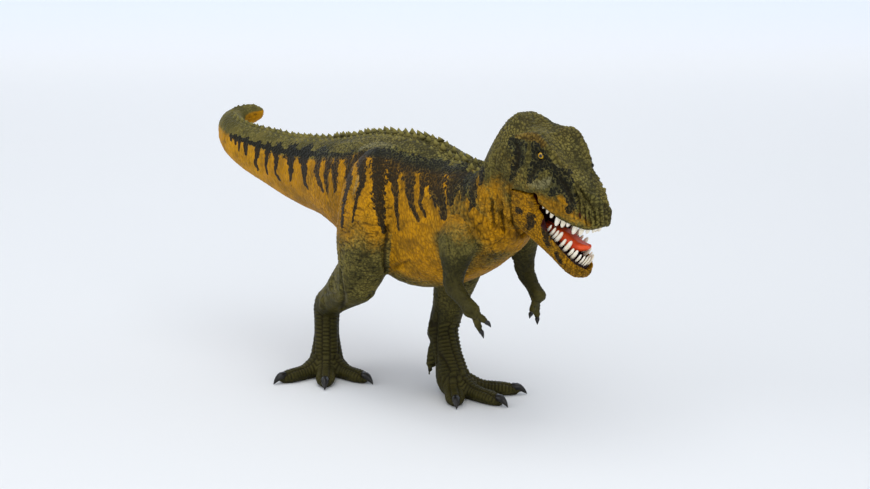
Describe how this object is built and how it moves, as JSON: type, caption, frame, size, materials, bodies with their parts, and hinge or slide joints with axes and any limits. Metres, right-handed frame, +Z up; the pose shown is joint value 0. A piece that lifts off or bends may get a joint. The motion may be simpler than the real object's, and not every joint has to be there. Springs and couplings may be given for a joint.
{
  "type": "toy dinosaur figure",
  "caption": "Moulded vinyl toy figure of a large-headed two-legged meat-eating dinosaur in mid stride, with scaly striped skin, an open toothed mouth and a hinged lower jaw.",
  "frame": {"origin": "on the ground under the middle of the figure's bounding box, level with the soles of both feet", "axes": "+X forward along the body towards the snout, +Y to the animal's left, +Z up"},
  "size_m": [0.2303, 0.0644, 0.1113],
  "materials": {
    "skin_ochre": "satin painted vinyl, golden ochre with dark stripes",
    "skin_olive": "satin painted vinyl, olive",
    "skin_yellow": "satin painted vinyl, yellow ochre",
    "tooth_ivory": "glossy ivory paint",
    "tongue_red": "glossy red-orange paint",
    "pin_steel": "plain drawn pin"
  },
  "bodies": {
    "figure": {"trunk_shell_right": "skin_ochre", "trunk_shell_left": "skin_ochre", "tail": "skin_ochre", "head": "skin_olive", "leg_right": "skin_olive", "leg_left": "skin_olive", "arm_right": "skin_olive", "arm_left": "skin_olive", "upper_tooth_row": "tooth_ivory", "jaw_pin": "pin_steel"},
    "jaw": {"lower_jaw": "skin_yellow", "lower_tooth_row": "tooth_ivory", "tongue": "tongue_red"}
  },
  "joints": [
    {"name": "jaw_hinge", "type": "hinge", "parent": "figure", "child": "jaw", "pos_m": [0.08421, 0.00592, 0.08379], "axis": [-0.1045, 0.9945, 0], "range_deg": [-5, 7]}
  ]
}
